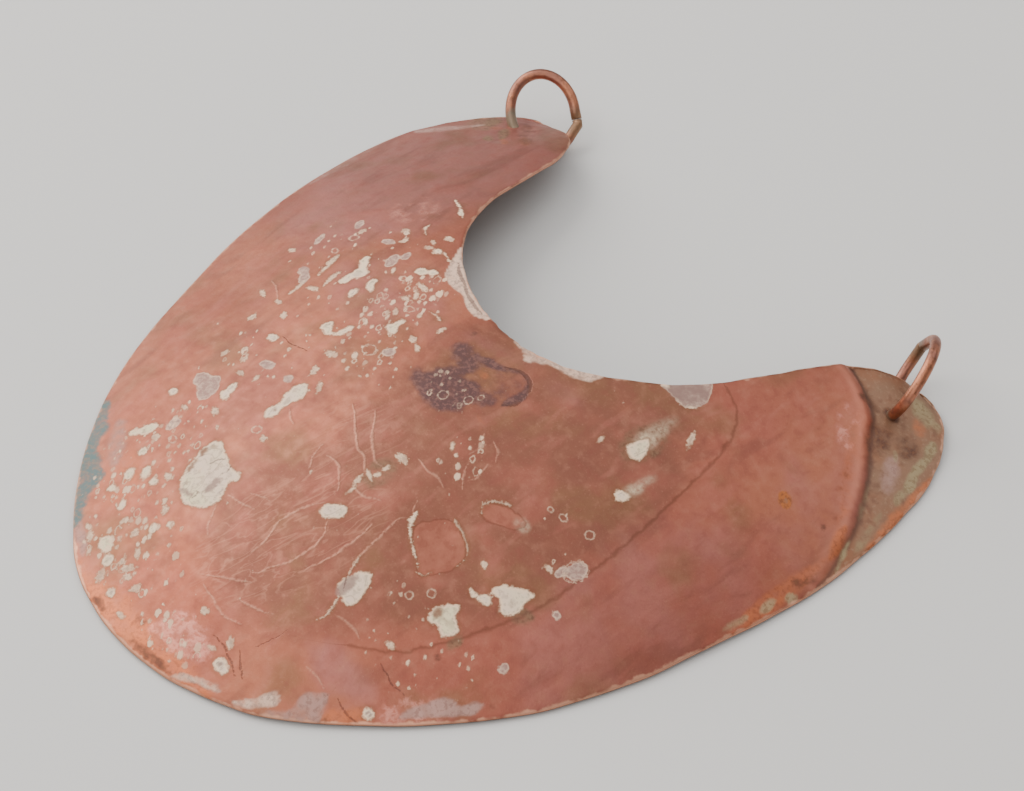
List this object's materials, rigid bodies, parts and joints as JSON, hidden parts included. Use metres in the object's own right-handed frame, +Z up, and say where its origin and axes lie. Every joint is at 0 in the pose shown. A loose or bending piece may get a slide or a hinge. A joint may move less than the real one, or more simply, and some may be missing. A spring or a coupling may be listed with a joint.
{
  "type": "trade gorget",
  "caption": "Domed crescent neck ornament of thin sheet copper, worn on the upper chest, with a loose wire ring through a punched hole in each horn.",
  "frame": {"origin": "on the floor that the outer rim lies on, under the centre of the object's box", "axes": "+X across the chest towards the horn with the fold, +Y from the chest edge towards the two horns, +Z up through the dome"},
  "size_m": [0.1418, 0.1526, 0.02],
  "materials": {
    "copper_sheet": "tarnished, worn satin copper with pale spots of corrosion",
    "copper_wire": "drawn copper wire, tarnished"
  },
  "bodies": {
    "plate": {"gorget_plate": "copper_sheet"},
    "left_ring": {"ring_left": "copper_wire"},
    "right_ring": {"ring_right": "copper_wire"}
  },
  "joints": [
    {"name": "left_ring_swing", "type": "hinge", "parent": "plate", "child": "left_ring", "pos_m": [-0.05296, 0.06131, 0.00382], "axis": [0.6776, 0.735, 0.0227], "range_deg": [-6, 64]},
    {"name": "right_ring_swing", "type": "hinge", "parent": "plate", "child": "right_ring", "pos_m": [0.05219, 0.06034, 0.0048], "axis": [-0.4886, 0.8724, -0.0144], "range_deg": [-40, 18]}
  ]
}
